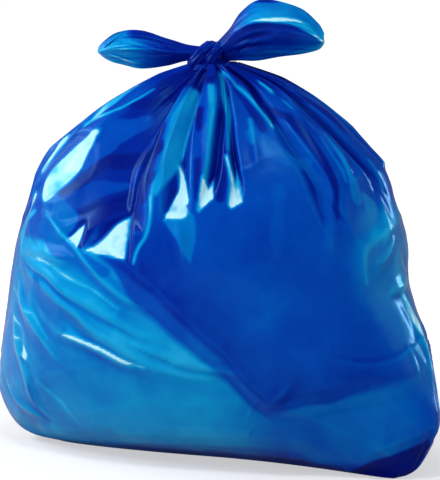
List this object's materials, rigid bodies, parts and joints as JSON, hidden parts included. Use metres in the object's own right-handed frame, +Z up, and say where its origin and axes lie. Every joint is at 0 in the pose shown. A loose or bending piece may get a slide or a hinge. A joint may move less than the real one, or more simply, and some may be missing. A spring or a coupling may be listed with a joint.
{
  "type": "garbage bag",
  "caption": "Full garbage bag of thin glossy film standing on its base, its mouth gathered into radiating pleats and tied in a knot with two ears.",
  "frame": {"origin": "middle of the bag's bounding box at the ground", "axes": "+Z up through the knot, X along the bottom seam, the front faces -Y"},
  "size_m": [0.541, 0.2938, 0.5113],
  "materials": {
    "film": "glossy blown polyethylene film, blue"
  },
  "bodies": {
    "root": {"garbage_bag": "film"}
  },
  "joints": []
}
